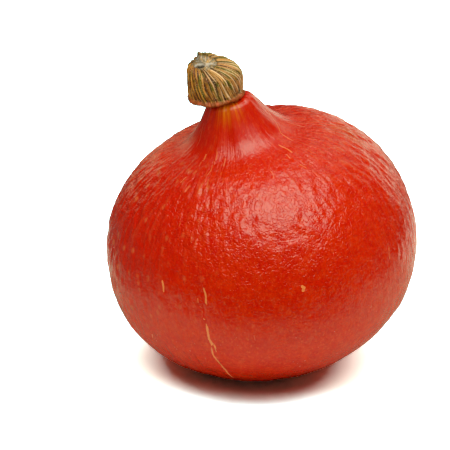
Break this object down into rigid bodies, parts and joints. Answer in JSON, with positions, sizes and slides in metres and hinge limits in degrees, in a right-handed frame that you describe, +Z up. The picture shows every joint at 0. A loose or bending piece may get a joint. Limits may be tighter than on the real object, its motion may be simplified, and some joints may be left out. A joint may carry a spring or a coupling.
{
  "type": "pumpkin",
  "caption": "Round leaning pumpkin with smooth skin, a tapering neck and a ridged corky stem cut off on top, resting on a flat ground spot.",
  "frame": {"origin": "middle of the flat ground spot the fruit rests on, under its widest ring's middle", "axes": "+Z up, -Y towards the side the neck bows to, -X towards the side the stem leans to"},
  "size_m": [0.1693, 0.1698, 0.181],
  "materials": {
    "skin": "waxy satin, orange red",
    "cork": "dry, ridged and corky"
  },
  "bodies": {
    "root": {"fruit": "skin", "stem": "cork"}
  },
  "joints": []
}
